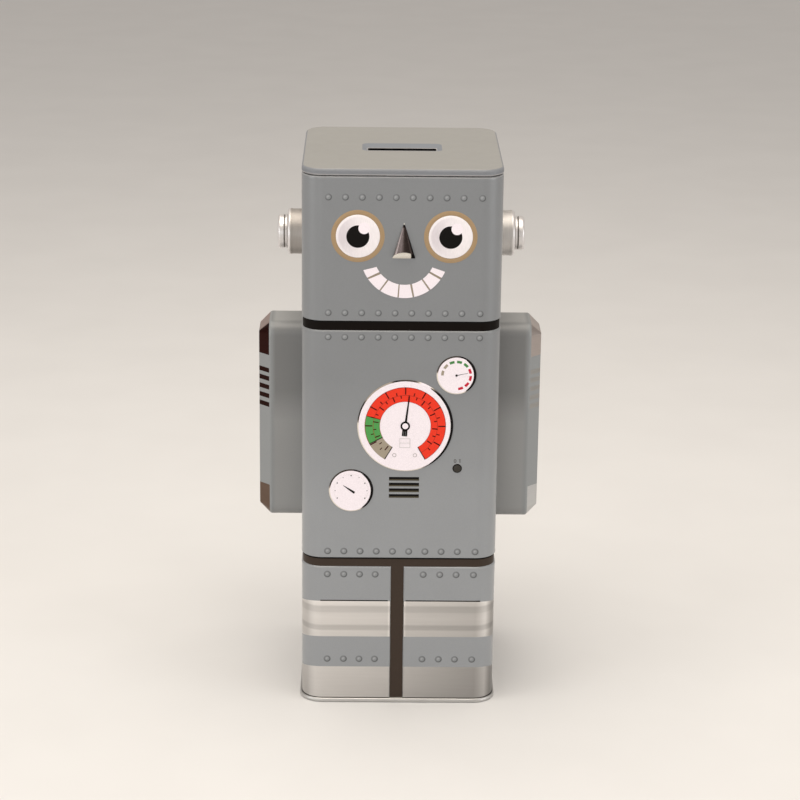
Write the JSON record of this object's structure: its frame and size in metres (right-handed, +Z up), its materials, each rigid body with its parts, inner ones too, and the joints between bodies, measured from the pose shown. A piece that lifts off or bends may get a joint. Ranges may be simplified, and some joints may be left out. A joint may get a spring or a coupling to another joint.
{
  "type": "robot-shaped tin money box",
  "caption": "Robot-shaped tinplate money box with a square body, a lift-off lid with a coin slot, swinging hollow arms and round ear knobs.",
  "frame": {"origin": "centre of the seamed base, on the plane the box stands on", "axes": "+Z up; the printed face looks along -Y; +X to the right when the face is seen from the front"},
  "size_m": [0.1242, 0.0923, 0.2419],
  "materials": {
    "printed_tin": "semi-gloss grey print on tinplate with printed dials, eyes, teeth, bands and bare-metal areas",
    "painted_lid": "semi-gloss grey enamel on tinplate",
    "painted_arm": "semi-gloss grey enamel with bare-metal zones and stripes on the outer face",
    "bare_tin": "bright rolled tinplate with a fine grain",
    "satin_silver": "satin spun silver",
    "rivet_steel": "bright zinc-plated steel"
  },
  "bodies": {
    "body": {"body_wrap": "printed_tin", "base_plate": "bare_tin", "left_ear_base": "satin_silver", "left_ear_cap": "satin_silver", "left_ear_rivet": "rivet_steel", "left_ear_washer": "rivet_steel", "left_shoulder_rivet": "rivet_steel", "left_shoulder_spacer": "rivet_steel", "left_shoulder_washer": "rivet_steel", "right_ear_base": "satin_silver", "right_ear_cap": "satin_silver", "right_ear_rivet": "rivet_steel", "right_ear_washer": "rivet_steel", "right_shoulder_rivet": "rivet_steel", "right_shoulder_spacer": "rivet_steel", "right_shoulder_washer": "rivet_steel"},
    "lid_body": {"lid": "painted_lid", "lid_plug": "bare_tin"},
    "left_arm": {"left_arm_shell": "painted_arm", "left_arm_back_plate": "bare_tin"},
    "right_arm": {"right_arm_shell": "painted_arm", "right_arm_back_plate": "bare_tin"}
  },
  "joints": [
    {"name": "lid_lift", "type": "slide", "parent": "body", "child": "lid_body", "axis": [0, 0, 1], "range_m": [0, 0.06]},
    {"name": "left_arm_swing", "type": "hinge", "parent": "body", "child": "left_arm", "pos_m": [-0.0435, 0, 0.1533], "axis": [-1, 0, 0], "range_deg": [-150, 150]},
    {"name": "right_arm_swing", "type": "hinge", "parent": "body", "child": "right_arm", "pos_m": [0.0435, 0, 0.1533], "axis": [-1, 0, 0], "range_deg": [-150, 150]}
  ]
}
